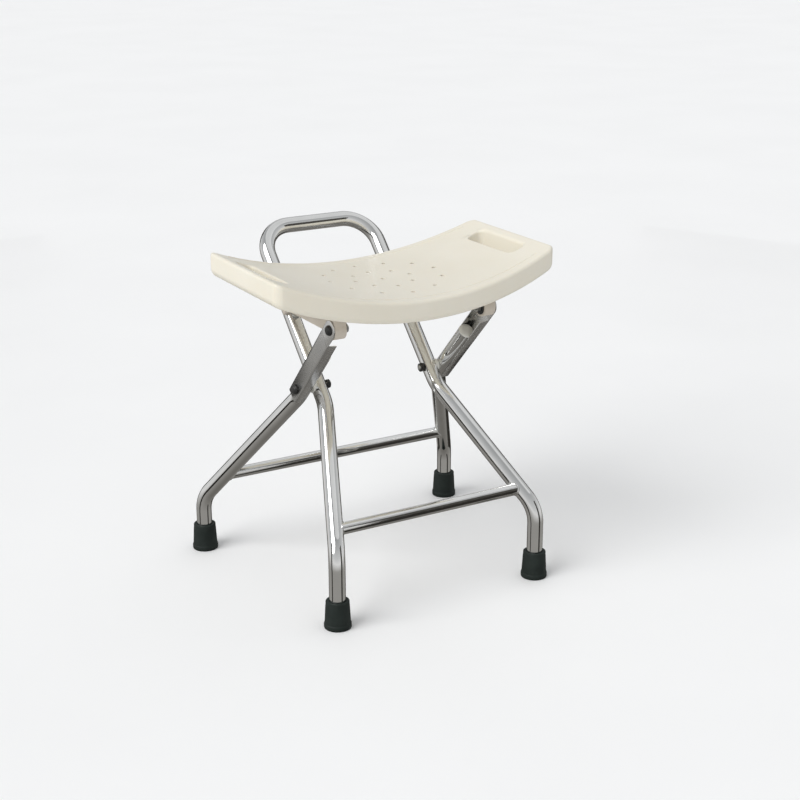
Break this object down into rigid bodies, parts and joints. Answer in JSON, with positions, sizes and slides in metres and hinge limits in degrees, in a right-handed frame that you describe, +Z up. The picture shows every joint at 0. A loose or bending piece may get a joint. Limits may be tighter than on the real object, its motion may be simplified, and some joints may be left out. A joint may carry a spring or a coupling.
{
  "type": "shower stool",
  "caption": "Folding shower stool with a dished plastic seat, hand slots and a carrying handle on crossing chromed tube frames.",
  "frame": {"origin": "on the floor, at the middle of the stool's overall length and depth", "axes": "+X along the length of the seat, +Y towards the carrying handle at the back, +Z up"},
  "size_m": [0.512, 0.441, 0.5357],
  "materials": {
    "chrome_tube": "bright chromed steel tube",
    "chrome_plate": "bright chromed pressed steel",
    "zinc_steel": "zinc-plated steel fasteners",
    "black_plastic": "moulded black plastic",
    "white_nylon": "natural nylon",
    "seat_plastic": "smooth cream moulded plastic, slightly glossy",
    "rail_plastic": "satin beige moulded plastic",
    "black_rubber": "black moulded rubber"
  },
  "bodies": {
    "front_frame": {"front_frame_tube": "chrome_tube", "front_brace": "chrome_tube", "seat_stop_screws": "zinc_steel", "frame_pivot_bolts": "zinc_steel", "frame_pivot_nuts": "black_plastic", "frame_pivot_caps": "black_plastic", "frame_pivot_spacers": "white_nylon", "front_foot_tip_right": "black_rubber", "front_foot_tip_left": "black_rubber", "front_tip_washers": "zinc_steel"},
    "rear_frame": {"rear_leg_right": "chrome_tube", "rear_leg_left": "chrome_tube", "rear_brace": "chrome_tube", "link_channel_right": "chrome_plate", "link_channel_left": "chrome_plate", "seat_pivot_bolts": "zinc_steel", "seat_pivot_nuts": "zinc_steel", "seat_pivot_caps": "black_plastic", "seat_pivot_washers": "black_plastic", "rear_foot_tip_right": "black_rubber", "rear_foot_tip_left": "black_rubber", "rear_tip_washers": "zinc_steel"},
    "seat": {"seat_shell": "seat_plastic", "seat_rail_right": "rail_plastic", "seat_rail_left": "rail_plastic", "seat_saddle_right": "rail_plastic", "seat_saddle_left": "rail_plastic", "rail_screws": "zinc_steel"}
  },
  "joints": [
    {"name": "leg_fold", "type": "hinge", "parent": "front_frame", "child": "rear_frame", "pos_m": [0, 0.002, 0.3115], "axis": [-1, 0, 0], "range_deg": [0, 76]},
    {"name": "seat_flip", "type": "hinge", "parent": "rear_frame", "child": "seat", "pos_m": [0, -0.116, 0.4365], "axis": [1, 0, 0], "range_deg": [0, 121.6]}
  ],
  "couplings": [
    {"joint": "seat_flip", "follows": "leg_fold", "ratio": 1.6}
  ]
}
